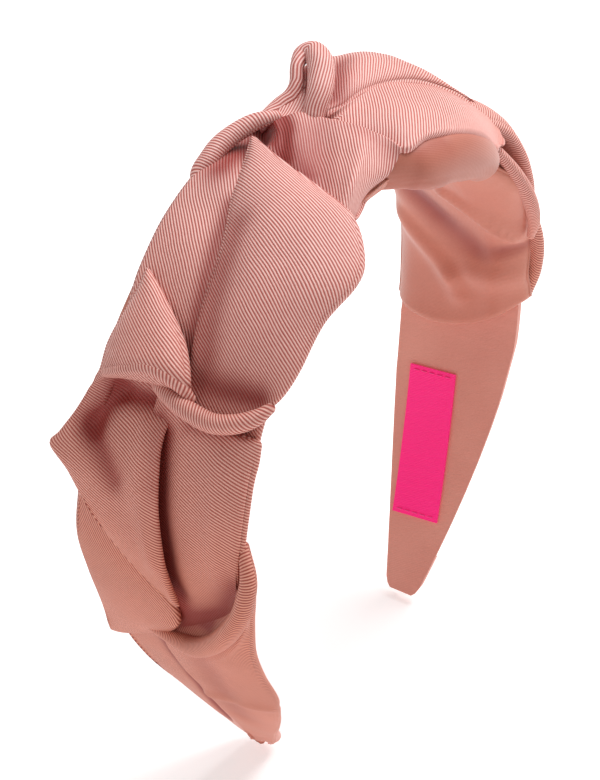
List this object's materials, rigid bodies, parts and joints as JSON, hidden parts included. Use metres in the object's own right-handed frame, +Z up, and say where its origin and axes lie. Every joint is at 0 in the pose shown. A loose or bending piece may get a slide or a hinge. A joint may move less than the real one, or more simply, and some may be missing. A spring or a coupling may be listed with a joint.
{
  "type": "knotted headband",
  "caption": "Padded alice band dressed with plaited ribbed cloth tubes, with a cloth wrap over the crown, a smooth lining and a plain woven label inside one leg",
  "frame": {"origin": "centre of the crown's inner arc, on the axis of the head mount", "axes": "+Z up through the crown, +X towards the leg with the label, +Y across the band's width"},
  "size_m": [0.1512, 0.0534, 0.1689],
  "materials": {
    "core": "matte moulded",
    "foam": "open foam",
    "cover_cloth": "fine ribbed weave",
    "lining_cloth": "smooth satin weave",
    "wrap_cloth": "smooth satin weave",
    "plait_cloth": "ribbed faille with a soft sheen",
    "tip_cloth": "fine ribbed weave",
    "glue": "clear set glue",
    "label": "dense satin weave",
    "label_thread": "polyester thread"
  },
  "bodies": {
    "root": {"core_band": "core", "foam_pad": "foam", "band_cover": "cover_cloth", "inner_lining": "lining_cloth", "inner_wrap": "wrap_cloth", "centre_wrap": "plait_cloth", "left_strand_front": "plait_cloth", "left_strand_middle": "plait_cloth", "left_strand_back": "plait_cloth", "right_strand_front": "plait_cloth", "right_strand_middle": "plait_cloth", "right_strand_back": "plait_cloth", "left_tip_wrap": "tip_cloth", "right_tip_wrap": "tip_cloth", "glue_dots": "glue", "woven_label": "label", "label_stitches": "label_thread"}
  },
  "joints": []
}
